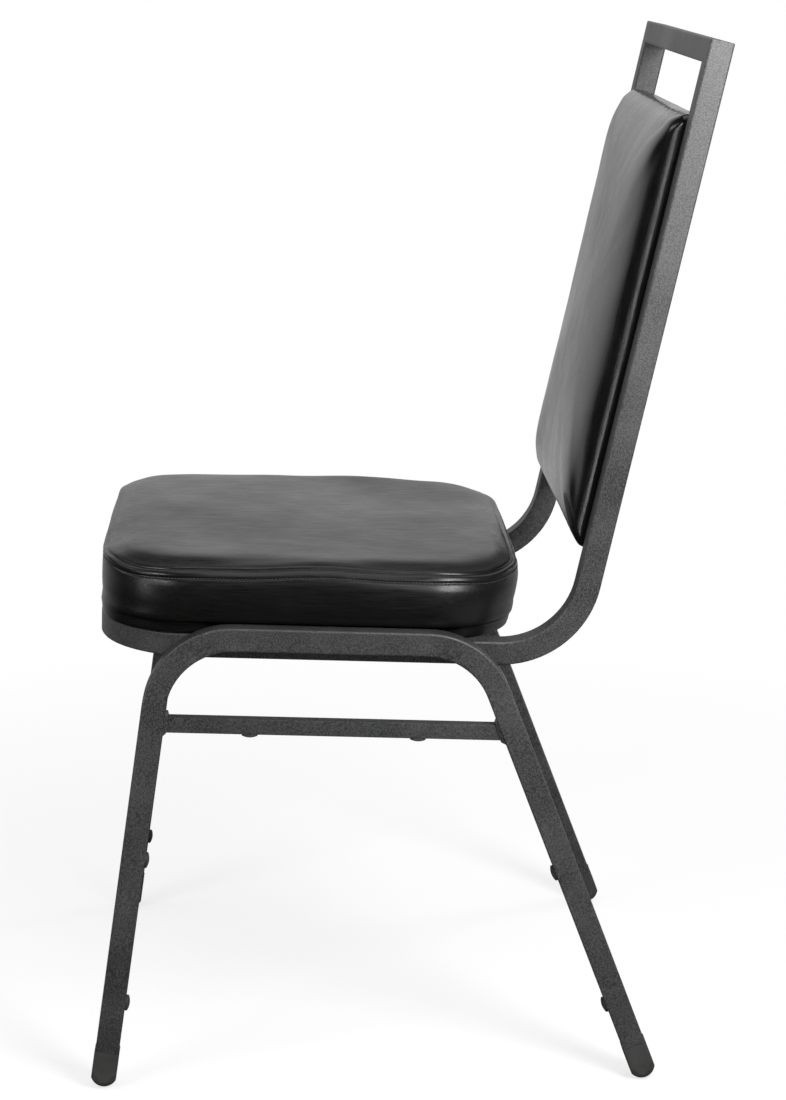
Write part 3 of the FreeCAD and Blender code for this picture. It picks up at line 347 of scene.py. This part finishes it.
def floor_material():
    """White seamless floor that shows its shading near the chair and is plain white further off."""
    mat, nodes, links, shader = new_material("pale_floor", (0.9, 0.9, 0.9), 0.9)
    place = object_place(nodes, links)
    tone = noise_node(nodes, links, place, 3, 2.0)
    links.new(colour_between(nodes, links, tone, (0.88, 0.88, 0.88), (0.92, 0.92, 0.92)),
              shader.inputs["Base Color"])
    white = nodes.new("ShaderNodeEmission")
    white.inputs["Color"].default_value = (1, 1, 1, 1)
    path = nodes.new("ShaderNodeLightPath")
    away = nodes.new("ShaderNodeVectorMath")
    away.operation = "LENGTH"
    links.new(place, away.inputs[0])
    share = map_range(nodes, links, away.outputs["Value"], 0.35, 1.3, 0.72, 1.0)
    split = nodes.new("ShaderNodeSeparateXYZ")
    links.new(place, split.inputs[0])
    # In reflections the floor is white beyond the chair and, less, behind its back.
    beyond = map_range(nodes, links, split.outputs["X"], -0.2, -1.5, STUDIO_DARK, FLOOR_GLOSS)
    behind = math_node(nodes, links, "MULTIPLY",
                       map_range(nodes, links, split.outputs["Y"], 0.3, 0.6, 0.0, REAR_GLOSS),
                       map_range(nodes, links, split.outputs["Y"], 1.3, 1.8, 1.0, 0.0))
    behind = math_node(nodes, links, "MULTIPLY", behind,
                       map_range(nodes, links, split.outputs["X"], 1.1, 1.5, 1.0, 0.0))
    glossy = math_node(nodes, links, "MULTIPLY", path.outputs["Is Glossy Ray"],
                       math_node(nodes, links, "MAXIMUM", beyond, behind))
    seen = math_node(nodes, links, "MAXIMUM", path.outputs["Is Camera Ray"],
                     path.outputs["Is Transmission Ray"])
    links.new(math_node(nodes, links, "MAXIMUM", seen, glossy), white.inputs["Strength"])
    factor = math_node(nodes, links, "MAXIMUM", path.outputs["Is Glossy Ray"],
                       math_node(nodes, links, "MULTIPLY", seen, share))
    mix = nodes.new("ShaderNodeMixShader")
    links.new(factor, mix.inputs["Fac"])
    links.new(shader.outputs[0], mix.inputs[1])
    links.new(white.outputs[0], mix.inputs[2])
    links.new(mix.outputs[0], nodes["Material Output"].inputs["Surface"])
    return mat


POWDER = powder_coat()
SEAT_VINYL = vinyl("seat_vinyl", (800, 40, 800), 0.26, 0.40)
BACK_VINYL = vinyl("back_vinyl", (800, 800, 40), 0.14, 0.28)
BOOT_PLASTIC = moulded("boot_plastic", (0.035, 0.034, 0.033), 0.42, 900, 0.06 * MM)
BUMPER_RUBBER = moulded("bumper_rubber", (0.028, 0.027, 0.026), 0.6, 1300, 0.08 * MM)
ZINC = zinc()
PLYWOOD = plywood()
FOAM = foam()
DUST_CLOTH = dust_cloth()
THREAD = thread()


FLOOR_REACH = 30.0


def build_floor():
    mesh = bpy.data.meshes.new("floor")
    reach = FLOOR_REACH
    corners = [(-reach, -reach, 0), (reach, -reach, 0), (reach, reach, 0), (-reach, reach, 0)]
    mesh.from_pydata(corners, [], [(0, 1, 2, 3)])
    floor = bpy.data.objects.new("floor", mesh)
    bpy.context.collection.objects.link(floor)
    floor.data.materials.append(floor_material())


build_floor()

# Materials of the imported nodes, by the ends of their names; the rest is powder-coated frame.
NODE_MATERIALS = [
    (("_t_nuts", "_screws"), ZINC),
    (("_glide",), BOOT_PLASTIC),
    (("_bumpers",), BUMPER_RUBBER),
    (("_board",), PLYWOOD),
    (("_foam",), FOAM),
    (("seat_dust_cover",), DUST_CLOTH),
    (("seat_top_panel", "seat_side_band"), SEAT_VINYL),
    (("back_front_cover", "back_rear_panel"), BACK_VINYL),
]
for node_name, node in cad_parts.items():
    chosen = POWDER
    for endings, material in NODE_MATERIALS:
        if node_name.endswith(endings):
            chosen = material
    node.data.materials.clear()
    node.data.materials.append(chosen)

# Local frames of the seat and the back, found from the crossbar between the seat rails.
bar_low, bar_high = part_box("rear_seat_crossbar")
bar_centre = (Vector(bar_low) + Vector(bar_high)) / 2
HEEL = Vector((0, bar_centre.y + CROSSBAR_RUN * math.cos(SEAT_TILT),
               bar_centre.z - CROSSBAR_RUN * math.sin(SEAT_TILT)))
SEAT_FRAME = Matrix.Translation(HEEL) @ Matrix.Rotation(-SEAT_TILT, 4, "X")
BACK_FRAME = Matrix.Translation(HEEL) @ Matrix.Rotation(-BACK_LEAN, 4, "X")


# Rings: closed outlines with the same number of points, so that sections join up
def rounded_ring(across, low, high, low_radius, high_radius, columns):
    """Points round a rectangle with rounded corners; columns = (across, along, per corner)."""
    wide, tall, turn = columns
    points = []

    def straight(ax, ay, bx, by, count):
        for i in range(count):
            share = i / count
            points.append((ax + (bx - ax) * share, ay + (by - ay) * share))

    def corner(cx, cy, radius, start):
        for i in range(turn):
            angle = start + math.pi / 2 * i / turn
            points.append((cx + radius * math.cos(angle), cy + radius * math.sin(angle)))

    r0, r1 = low_radius, high_radius
    straight(-across + r0, low, across - r0, low, wide)
    corner(across - r0, low + r0, r0, -math.pi / 2)
    straight(across, low + r0, across, high - r1, tall)
    corner(across - r1, high - r1, r1, 0)
    straight(across - r1, high, -across + r1, high, wide)
    corner(-across + r1, high - r1, r1, math.pi / 2)
    straight(-across, high - r1, -across, low + r0, tall)
    corner(-across + r0, low + r0, r0, math.pi)
    return points


def smooth_rows(rows, steps):
    """Rows of numbers joined by curves that never overshoot; steps rows for each gap."""
    spots = [0.0]
    for a, b in zip(rows, rows[1:]):
        spots.append(spots[-1] + math.sqrt(sum((q - p) ** 2 for p, q in zip(a[:2], b[:2]))) + 1e-9)
    columns = []
    for values in zip(*rows):
        gaps = [b - a for a, b in zip(spots, spots[1:])]
        rises = [(b - a) / gap for a, b, gap in zip(values, values[1:], gaps)]
        slopes = [rises[0]]
        for i in range(1, len(rises)):
            before, after = rises[i - 1], rises[i]
            if before * after <= 0:
                slopes.append(0.0)
                continue
            w1, w2 = 2 * gaps[i] + gaps[i - 1], gaps[i] + 2 * gaps[i - 1]
            slopes.append((w1 + w2) / (w1 / before + w2 / after))
        slopes.append(rises[-1])
        column = []
        for i, gap in enumerate(gaps):
            for step in range(steps):
                s = step / steps
                h00, h10 = 2 * s ** 3 - 3 * s ** 2 + 1, s ** 3 - 2 * s ** 2 + s
                h01, h11 = -2 * s ** 3 + 3 * s ** 2, s ** 3 - s ** 2
                column.append(h00 * values[i] + h10 * gap * slopes[i]
                              + h01 * values[i + 1] + h11 * gap * slopes[i + 1])
        column.append(values[-1])
        columns.append(column)
    return list(zip(*columns))


def ring_mesh(name, rings):
    """A closed mesh through rings of equal length, capped flat at both ends."""
    mesh = bpy.data.meshes.new(name)
    count = len(rings[0])
    verts = [point for ring in rings for point in ring]
    faces = []
    for r in range(len(rings) - 1):
        for i in range(count):
            j = (i + 1) % count
            faces.append((r * count + i, r * count + j, (r + 1) * count + j, (r + 1) * count + i))
    faces.append(tuple(reversed(range(count))))
    last = (len(rings) - 1) * count
    faces.append(tuple(range(last, last + count)))
    mesh.from_pydata(verts, [], faces)
    mesh.update()
    return mesh


def add_piece(name, mesh, place, material):
    for polygon in mesh.polygons:
        polygon.use_smooth = True
    mesh.materials.clear()
    mesh.materials.append(material)
    piece = bpy.data.objects.new(name, mesh)
    bpy.context.collection.objects.link(piece)
    piece.matrix_world = place
    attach(piece, "root")
    return piece


def apply_modifiers(piece):
    graph = bpy.context.evaluated_depsgraph_get()
    mesh = bpy.data.meshes.new_from_object(piece.evaluated_get(graph))
    piece.modifiers.clear()
    old = piece.data
    piece.data = mesh
    bpy.data.meshes.remove(old)


# The cushions' swelling: a form shrunk a little is blown up as cloth, and the piece takes part of it.
AIR_SHRINK = 5 * MM
AIR_VOXEL = 8 * MM
AIR_PRESSURE = 4.0
AIR_FRAMES = 18
SWELL_SHARE = 0.5
SWELL_CAP = 5 * MM
SWELL_PASSES = 22


def inflate(name, mesh):
    """Blows up a copy of the closed form as cloth and returns its surface as a search tree."""
    bag_mesh = mesh.copy()
    bag_mesh.name = name
    for vertex in bag_mesh.vertices:
        vertex.co = vertex.co - vertex.normal * AIR_SHRINK
    bag = bpy.data.objects.new(name, bag_mesh)
    bpy.context.collection.objects.link(bag)
    remesh = bag.modifiers.new("even", "REMESH")
    remesh.mode = "VOXEL"
    remesh.voxel_size = AIR_VOXEL
    apply_modifiers(bag)
    cloth = bag.modifiers.new("air", "CLOTH")
    cloth.settings.quality = 5
    cloth.settings.mass = 0.4
    cloth.settings.tension_stiffness = 25
    cloth.settings.compression_stiffness = 25
    cloth.settings.bending_stiffness = 1.5
    cloth.settings.use_pressure = True
    cloth.settings.uniform_pressure_force = AIR_PRESSURE
    cloth.settings.effector_weights.gravity = 0
    cloth.point_cache.frame_start = 1
    cloth.point_cache.frame_end = AIR_FRAMES
    for number in range(1, AIR_FRAMES + 1):
        bpy.context.scene.frame_set(number)
    apply_modifiers(bag)
    tree = BVHTree.FromPolygons([v.co.copy() for v in bag.data.vertices],
                                [tuple(p.vertices) for p in bag.data.polygons])
    bpy.context.scene.frame_set(1)
    bpy.data.objects.remove(bag)
    return tree


def settle(mesh, tree, weight):
    """Moves the form's points towards the blown surface, evened over neighbours."""
    reach = 3 * SWELL_CAP
    moves = []
    for vertex in mesh.vertices:
        start = vertex.co - vertex.normal * reach
        hit = tree.ray_cast(start, vertex.normal, 2 * reach)[0]
        found = 0.0 if hit is None else (hit - vertex.co).dot(vertex.normal)
        moves.append(max(-SWELL_CAP, min(SWELL_CAP, found)))
    near = [[] for _ in mesh.vertices]
    for edge in mesh.edges:
        a, b = edge.vertices
        near[a].append(b)
        near[b].append(a)
    for _ in range(SWELL_PASSES):
        moves = [(moves[i] + sum(moves[j] for j in near[i])) / (1 + len(near[i]))
                 for i in range(len(moves))]
    normals = [vertex.normal.copy() for vertex in mesh.vertices]
    for vertex, normal, move in zip(mesh.vertices, normals, moves):
        vertex.co = vertex.co + normal * move * weight(vertex.co)
    mesh.update()


def bump_along(mesh, amount):
    """Moves each point along its normal by amount(point)."""
    normals = [vertex.normal.copy() for vertex in mesh.vertices]
    for vertex, normal in zip(mesh.vertices, normals):
        vertex.co = vertex.co + normal * amount(vertex.co)
    mesh.update()


def fade(distance, near, far):
    """1 inside near, 0 beyond far."""
    share = max(0.0, min(1.0, (far - distance) / (far - near)))
    return share * share * (3 - 2 * share)


# Seat cushion. Rows: height above the rail tops, then the side, front and rear insets.
SEAT_ROWS = [
    (0.3, 15.6, 5.6, 12.5),
    (1.6, 13.5, 3.8, 10.7),
    (11.0, 13.2, 2.2, 8.4),
    (13.0, 9.0, 1.9, 7.4),
    (14.6, 4.8, 1.7, 6.6),
    (20.0, 1.8, 1.0, 4.6),
    (34.0, 0.0, 0.0, 1.6),
    (48.0, 1.2, 0.2, 0.2),
    (54.0, 3.1, 0.7, 0.8),
    (55.2, 3.6, 0.9, 1.0),
    (56.0, 4.0, 1.0, 1.2),
    (56.8, 4.6, 1.3, 1.6),
    (58.0, 5.7, 1.8, 2.3),
    (59.6, 7.4, 2.6, 3.4),
    (61.3, 9.8, 4.0, 5.2),
    (61.9, 13.8, 7.4, 9.2),
    (63.3, 14.4, 7.8, 9.8),
    (65.4, 18.5, 10.0, 13.0),
    (67.4, 25.0, 15.0, 19.0),
    (68.9, 34.0, 23.0, 28.0),
    (69.8, 48.0, 38.0, 43.0),
    (70.4, 75.0, 65.0, 70.0),
    (70.8, 110.0, 105.0, 110.0),
    (71.0, 150.0, 145.0, 150.0),
    (71.1, 188.0, 178.0, 178.0),
]
SEAT_COLUMNS = (50, 44, 27)
# A corner's radius shrinks by this share of the side's inset, down to a least radius.
CORNER_SHARE = 0.8
CORNER_LEAST = 12 * MM


def seat_outline(row):
    height, side, front, rear = (number * MM for number in row)
    taken = side * CORNER_SHARE
    ring = rounded_ring(SEAT_HALF_WIDTH - side, -(SEAT_FRONT - front), -(SEAT_REAR + rear),
                        max(SEAT_FRONT_CORNER - taken, CORNER_LEAST),
                        max(SEAT_REAR_CORNER - taken, CORNER_LEAST), SEAT_COLUMNS)
    return [(x, y, TUBE_HALF + height) for x, y in ring]


def seat_wrinkles(point):
    """Small draws of the cover at the seam, over broad gentle unevenness above the hem."""
    above = point.z - (TUBE_HALF + SEAT_SEAM_HEIGHT)
    if above < 0:
        close = fade(-above, 1 * MM, 16 * MM)
    else:
        close = fade(above * 6, 4 * MM, 40 * MM)
    fine = noise.noise(Vector((point.x * 70, point.y * 70, point.z * 14)))
    broad = noise.noise(Vector((point.x * 11, point.y * 11, point.z * 9 + 4)))
    edge = fade(point.z - TUBE_HALF, 4 * MM, 13 * MM)
    return (0.25 * close * fine + 0.5 * (1 - edge) * broad) * MM


GROOVE_DEPTH = 1.0 * MM
GROOVE_HALF_WIDTH = 1.9 * MM


def seat_stitch_groove(point):
    """The topstitch pulls a shallow groove into the side band."""
    away = abs(point.z - (TUBE_HALF + TOPSTITCH_HEIGHT))
    return -GROOVE_DEPTH * fade(away, 0.2 * MM, GROOVE_HALF_WIDTH)


SEAM_WAVE = 2.4 * MM
SEAM_RIPPLE = 0.8 * MM


def wander_seam(mesh):
    """The seam and its topstitch run a little up and down along the sides, as sewn by hand."""
    seam = TUBE_HALF + SEAT_SEAM_HEIGHT
    for vertex in mesh.vertices:
        spot = vertex.co
        along = -spot.y / SEAT_FRONT
        wave = math.sin(2 * math.pi * (along * 1.15 - 0.32))
        ripple = math.sin(23 * along + spot.x * 9)
        lift = SEAM_WAVE * wave + SEAM_RIPPLE * ripple
        held = fade(abs(spot.z - seam + 3 * MM), 6 * MM, 22 * MM)
        side = fade(abs(SEAT_HALF_WIDTH - abs(spot.x)), 22 * MM, 60 * MM)
        spot.z += lift * held * side
    mesh.update()


def build_seat():
    rows = smooth_rows(SEAT_ROWS, 3)
    mesh = ring_mesh("seat_cushion", [seat_outline(row) for row in rows])
    tree = inflate("seat_air", mesh)
    low, seam = TUBE_HALF + 14 * MM, TUBE_HALF + SEAT_SEAM_HEIGHT

    def weight(point):
        if point.z < low:
            return 0.0
        held = 1 - fade(abs(point.z - seam), 0.5 * MM, 7 * MM)
        return SWELL_SHARE * held * min(1.0, (point.z - low) / (10 * MM))

    settle(mesh, tree, weight)
    bump_along(mesh, seat_wrinkles)
    bump_along(mesh, seat_stitch_groove)
    wander_seam(mesh)
    piece = add_piece("seat_cushion", mesh, SEAT_FRAME, SEAT_VINYL)
    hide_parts("seat_top_panel", "seat_side_band", "seat_foam")
    return piece, rows


def ring_of(piece, rows, column, number, columns):
    """Points and normals of the mesh's ring whose row has the number nearest this one."""
    count = 2 * (columns[0] + columns[1]) + 4 * columns[2]
    first = count * min(range(len(rows)), key=lambda r: abs(rows[r][column] - number))
    verts = piece.data.vertices
    return [(verts[first + i].co.copy(), verts[first + i].normal.copy()) for i in range(count)]


def walk(ring, pitch):
    """Points, ways and normals evenly spaced by pitch round a ring."""
    total = sum((ring[i][0] - ring[i - 1][0]).length for i in range(len(ring)))
    count = round(total / pitch)
    step = total / count
    found, travelled, goal = [], 0.0, 0.0
    for i in range(len(ring)):
        (a, na), (b, nb) = ring[i], ring[(i + 1) % len(ring)]
        span = (b - a).length
        while goal < travelled + span and len(found) < count:
            share = (goal - travelled) / span
            found.append((a.lerp(b, share), (b - a).normalized(), na.lerp(nb, share).normalized()))
            goal += step
        travelled += span
    return found


def stitch_mesh(name, marks, length, thickness, lift):
    """One rounded dash for each mark, half sunk in the surface: stitches, staples or weld nubs."""
    mesh = bpy.data.meshes.new(name)
    verts, faces = [], []
    sides, stations = 6, (-0.5, -0.36, 0.0, 0.36, 0.5)
    widths = (0.15, 0.8, 1.0, 0.8, 0.15)
    heights = (-0.9, 0.1, 0.6, 0.1, -0.9)
    for spot, way, normal in marks:
        across = way.cross(normal).normalized()
        start = len(verts)
        for along, width, height in zip(stations, widths, heights):
            centre = spot + way * length * along + normal * (lift + thickness / 2 * height)
            for k in range(sides):
                angle = 2 * math.pi * k / sides
                offset = across * math.cos(angle) + normal * math.sin(angle)
                verts.append(centre + offset * thickness / 2 * width)
        for s in range(len(stations) - 1):
            for k in range(sides):
                n = (k + 1) % sides
                a, b = start + s * sides, start + (s + 1) * sides
                faces.append((a + k, a + n, b + n, b + k))
        faces.append(tuple(start + k for k in reversed(range(sides))))
        last = start + (len(stations) - 1) * sides
        faces.append(tuple(last + k for k in range(sides)))
    mesh.from_pydata(verts, [], faces)
    mesh.update()
    return mesh


# Rows of dashes: pitch, length, thickness and height over the surface.
TOPSTITCH = (3.4 * MM, 2.4 * MM, 1.0 * MM, 0.25 * MM)
PANEL_STITCH = (3.6 * MM, 2.5 * MM, 0.7 * MM, 0.15 * MM)
STAPLES = (38 * MM, 11 * MM, 1.0 * MM, 0.0)


def dashes_round(name, ring, sizes, place, material):
    """A piece made of one row of dashes all round a ring."""
    pitch, length, thickness, lift = sizes
    mesh = stitch_mesh(name, walk(ring, pitch), length, thickness, lift)
    add_piece(name, mesh, place, material)


seat, seat_rows = build_seat()
topstitch_ring = ring_of(seat, seat_rows, 0, TOPSTITCH_HEIGHT / MM, SEAT_COLUMNS)
dashes_round("seat_topstitch", topstitch_ring, TOPSTITCH, SEAT_FRAME, THREAD)

# Back pad. Rows: depth forward of the uprights' centre plane, then side, bottom and top insets.
PAD_ROWS = [
    (-5.8, 1.8, 1.8, 1.8),
    (-5.0, 0.7, 0.7, 0.7),
    (0.0, 0.1, 0.1, 0.1),
    (5.0, 0.0, 0.0, 0.0),
    (12.0, 0.4, 0.8, 0.6),
    (18.0, 4.0, 5.6, 4.5),
    (24.0, 10.0, 14.0, 11.0),
    (29.0, 21.0, 27.0, 22.0),
    (32.8, 37.0, 42.0, 36.0),
    (36.5, 68.0, 74.0, 64.0),
    (39.1, 108.0, 116.0, 108.0),
    (40.4, 146.0, 158.0, 150.0),
    (40.6, 170.0, 190.0, 190.0),
]
PAD_COLUMNS = (70, 80, 10)
PAD_CORNER = 9 * MM
PAD_CORNER_SHARE = 0.35


def pad_outline(row):
    depth, side, bottom, top = (number * MM for number in row)
    across = PAD_HALF_WIDTH - side
    radius = min(PAD_CORNER + side * PAD_CORNER_SHARE, across * 0.6)
    ring = rounded_ring(across, PAD_BOTTOM + bottom, PAD_TOP - top, radius, radius, PAD_COLUMNS)
    return [(x, -depth, z) for x, z in ring]


def pad_puckers(point):
    """Short draws of the cover at the top and bottom edges of the pad."""
    top, bottom = PAD_TOP - point.z, point.z - PAD_BOTTOM
    close = max(fade(top, 4 * MM, 34 * MM), fade(bottom, 4 * MM, 26 * MM))
    front = fade(point.y, -14 * MM, 2 * MM)
    fine = noise.noise(Vector((point.x * 95, point.y * 12, point.z * 12 + 2)))
    broad = noise.noise(Vector((point.x * 9, point.y * 9, point.z * 7 + 8)))
    return (0.4 * close * fine + 0.5 * broad) * front * MM


def build_back():
    mesh = ring_mesh("back_cushion", [pad_outline(row) for row in smooth_rows(PAD_ROWS, 3)])
    tree = inflate("back_air", mesh)
    settle(mesh, tree, lambda point: SWELL_SHARE * fade(point.y, -30 * MM, -22 * MM))
    bump_along(mesh, pad_puckers)
    piece = add_piece("back_cushion", mesh, BACK_FRAME, BACK_VINYL)
    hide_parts("back_front_cover", "back_foam")


build_back()

# Rear panel of the back, wrapped in the same vinyl and sewn down near its edge. Rows as the pad's.
PANEL_ROWS = [
    (-10.0, 165.0, 165.0, 165.0),
    (-9.9, 120.0, 120.0, 120.0),
    (-9.6, 70.0, 70.0, 70.0),
    (-9.0, 30.0, 30.0, 30.0),
    (-8.4, 14.0, 14.0, 14.0),
    (-8.0, 9.0, 9.0, 9.0),
    (-7.5, 7.6, 7.6, 7.6),
    (-7.5, 7.0, 7.0, 7.0),
    (-8.0, 5.6, 5.6, 5.6),
    (-7.95, 4.0, 4.0, 4.0),
    (-7.7, 2.2, 2.2, 2.2),
    (-7.3, 1.1, 1.1, 1.1),
    (-6.8, 0.8, 0.8, 0.8),
    (-6.2, 0.9, 0.9, 0.9),
]
PANEL_SEAM_INSET = 7.3


def build_rear_panel():
    rows = smooth_rows(PANEL_ROWS, 2)
    mesh = ring_mesh("back_panel_cover", [pad_outline(row) for row in rows])

    def slack(point):
        inside = fade(PAD_HALF_WIDTH - abs(point.x), 8 * MM, 30 * MM)
        return 0.5 * (1 - inside) * noise.noise(Vector((point.x * 12, 3, point.z * 6))) * MM

    bump_along(mesh, slack)
    piece = add_piece("back_panel_cover", mesh, BACK_FRAME, BACK_VINYL)
    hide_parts("back_rear_panel")
    return piece, rows


panel, panel_rows = build_rear_panel()
panel_ring = ring_of(panel, panel_rows, 1, PANEL_SEAM_INSET, PAD_COLUMNS)
dashes_round("back_panel_stitch", panel_ring, PANEL_STITCH, BACK_FRAME, THREAD)

# Dust cloth under the seat board: stapled near its edge, slack in the middle. Rows as the seat's,
# out along the lower face and back along the upper one.
CLOTH_ROWS = [
    (-2.9, 180.0, 172.0, 176.0),
    (-2.6, 140.0, 132.0, 136.0),
    (-1.7, 95.0, 87.0, 91.0),
    (-0.3, 58.0, 50.0, 54.0),
    (0.3, 41.0, 33.0, 37.0),
    (0.3, 16.4, 6.6, 13.4),
    (0.7, 16.4, 6.6, 13.4),
    (0.7, 41.0, 33.0, 37.0),
    (0.1, 58.0, 50.0, 54.0),
    (-1.3, 95.0, 87.0, 91.0),
    (-2.2, 140.0, 132.0, 136.0),
    (-2.5, 180.0, 172.0, 176.0),
]


def build_dust_cloth():
    rings = []
    for row in CLOTH_ROWS:
        ring = []
        for x, y, z in seat_outline(row):
            slack = 1 - fade(row[1], 30.0, 70.0)
            broad = noise.noise(Vector((x * 21, y * 21, 5)))
            fine = noise.noise(Vector((x * 60, y * 60, 9)))
            pull = broad + 0.5 * fine
            ring.append((x, y, z + 0.9 * slack * min(0.0, pull) * MM))
        rings.append(ring)
    mesh = ring_mesh("seat_dust_cloth", rings)
    piece = add_piece("seat_dust_cloth", mesh, SEAT_FRAME, DUST_CLOTH)
    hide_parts("seat_dust_cover")


build_dust_cloth()
DOWN = Vector((0, 0, -1))
STAPLE_ROW = (0.3, 41.0, 33.0, 37.0)
staple_line = [(Vector(point), DOWN) for point in seat_outline(STAPLE_ROW)]
dashes_round("seat_staples", staple_line, STAPLES, SEAT_FRAME, ZINC)

# Weld nubs under the seat rails, where each side tube meets the front rail.
nubs = [(Vector((side * FRAME_HALF, -JOINT_RUN, -TUBE_HALF)), Vector((1, 0, 0)), DOWN)
        for side in (-1, 1)]
NUB_LENGTH, NUB_WIDTH, NUB_LIFT = 18 * MM, 4.0 * MM, -0.8 * MM
welds = stitch_mesh("seat_rail_welds", nubs, NUB_LENGTH, NUB_WIDTH, NUB_LIFT)
add_piece("seat_rail_welds", welds, SEAT_FRAME, POWDER)
